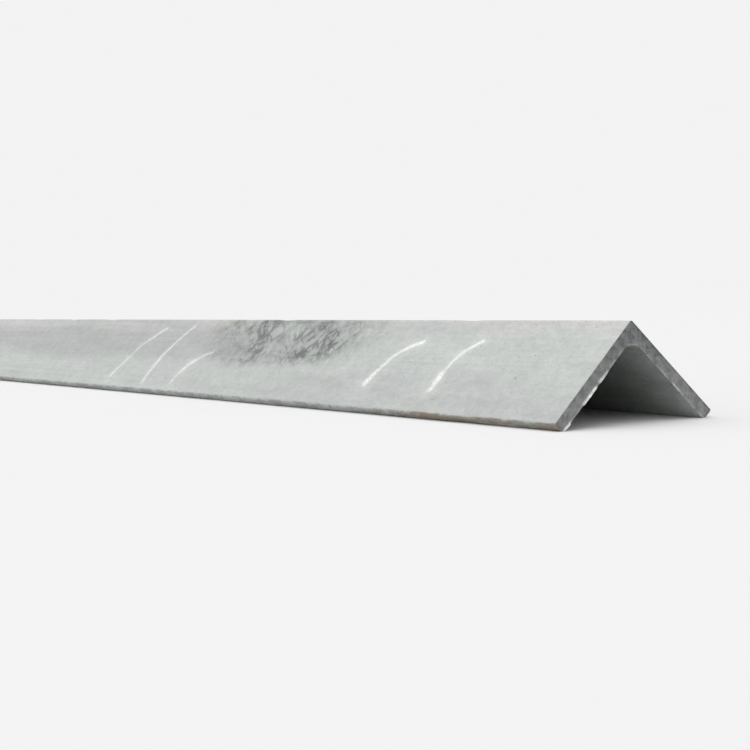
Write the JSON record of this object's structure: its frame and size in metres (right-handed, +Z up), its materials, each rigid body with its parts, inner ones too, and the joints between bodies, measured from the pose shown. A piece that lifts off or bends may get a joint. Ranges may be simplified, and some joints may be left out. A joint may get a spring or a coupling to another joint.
{
  "type": "metal angle section",
  "caption": "Hot-rolled equal-leg steel angle bar in a mill stock length, with sheared ends, lying heel up on its two toes.",
  "frame": {"origin": "under the middle of the bar's length, midway between the toes, on the plane that the toes stand on", "axes": "+X along the bar's length to the sheared end that the picture shows, +Z up through the heel, +Y across from toe to toe"},
  "size_m": [6, 0.0702, 0.0377],
  "materials": {
    "mill_scale_steel": "hot-rolled mild steel with its mill scale: light satin grey with faint lengthwise rolling streaks, mottled scale, darker rubbed edges, specks of brown rust, and darker sheared ends"
  },
  "bodies": {
    "root": {"angle_section": "mill_scale_steel"}
  },
  "joints": []
}
